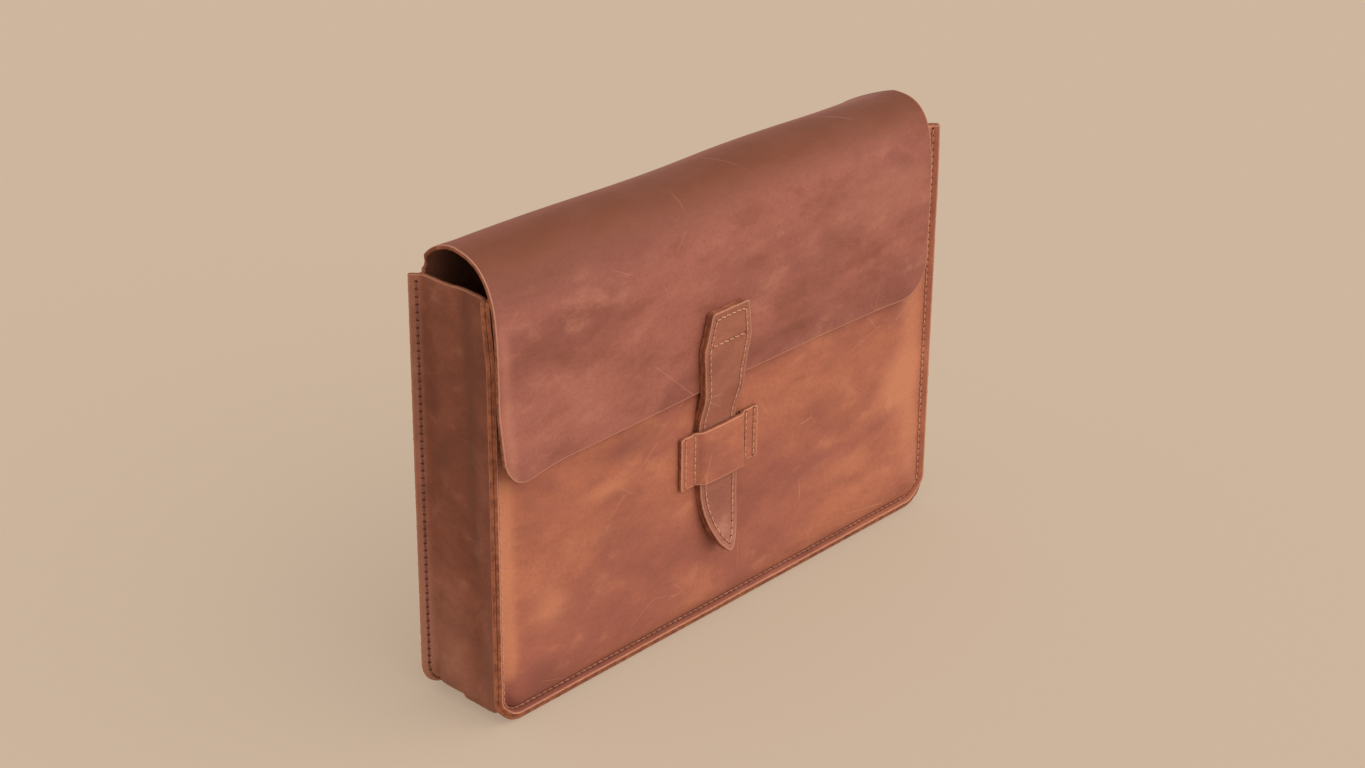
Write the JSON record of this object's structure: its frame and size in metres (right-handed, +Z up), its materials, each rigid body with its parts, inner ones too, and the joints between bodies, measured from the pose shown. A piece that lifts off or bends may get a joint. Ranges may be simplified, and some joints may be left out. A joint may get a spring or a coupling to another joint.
{
  "type": "laptop sleeve",
  "caption": "Stitched leather laptop sleeve with a gusset, a full-width front flap, and a tab that tucks behind a keeper band.",
  "frame": {"origin": "on the ground, in the middle of the box that holds the closed sleeve; the tongue's tip and the back seam's stitches set that box front to back, so the sleeve's own mid-depth is 6.3 mm behind the origin", "axes": "+Z up, the sleeve standing on its bottom seams; -Y is the front, where the flap, tab and keeper are; +X is right, seen from the front"},
  "size_m": [0.35, 0.0767, 0.2599],
  "materials": {
    "panel_leather": "waxed pull-up leather, red-brown, matte, raw cut edges",
    "flap_leather": "waxed pull-up leather, mauve-brown, matte",
    "gusset_leather": "waxed pull-up leather, darker brown, creased at the bends",
    "tab_leather": "waxed pull-up leather, two layers, raw edges",
    "waxed_thread": "waxed braided thread, pinkish brown"
  },
  "bodies": {
    "sleeve": {"back_panel": "panel_leather", "front_panel": "panel_leather", "gusset_strip": "gusset_leather", "keeper_band": "panel_leather", "back_seam_thread_face": "waxed_thread", "back_seam_thread_reverse": "waxed_thread", "front_seam_thread_face": "waxed_thread", "front_seam_thread_reverse": "waxed_thread", "keeper_left_outer_thread_face": "waxed_thread", "keeper_left_outer_thread_reverse": "waxed_thread", "keeper_left_inner_thread_face": "waxed_thread", "keeper_left_inner_thread_reverse": "waxed_thread", "keeper_right_outer_thread_face": "waxed_thread", "keeper_right_outer_thread_reverse": "waxed_thread", "keeper_right_inner_thread_face": "waxed_thread", "keeper_right_inner_thread_reverse": "waxed_thread"},
    "flap": {"flap": "flap_leather", "tab_backing_top": "tab_leather", "tab_face_top": "tab_leather", "tab_top_thread_face": "waxed_thread", "tab_top_thread_reverse": "waxed_thread", "tab_cross_thread_face": "waxed_thread", "tab_cross_thread_reverse": "waxed_thread"},
    "tongue": {"tab_backing_tongue": "tab_leather", "tab_face_tongue": "tab_leather", "tongue_thread_face": "waxed_thread", "tongue_thread_reverse": "waxed_thread"}
  },
  "joints": [
    {"name": "flap_fold", "type": "hinge", "parent": "sleeve", "child": "flap", "pos_m": [0, 0.03741, 0.24015], "axis": [-1, 0, 0], "range_deg": [0, 170]},
    {"name": "tongue_bend", "type": "hinge", "parent": "flap", "child": "tongue", "pos_m": [-0.014, -0.03458, 0.16835], "axis": [-1, 0, 0], "range_deg": [0, 90], "stiffness_Nm_per_rad": 0.03, "deforming": ["tab_backing_tongue", "tab_face_tongue", "tongue_thread_face", "tongue_thread_reverse"]}
  ]
}
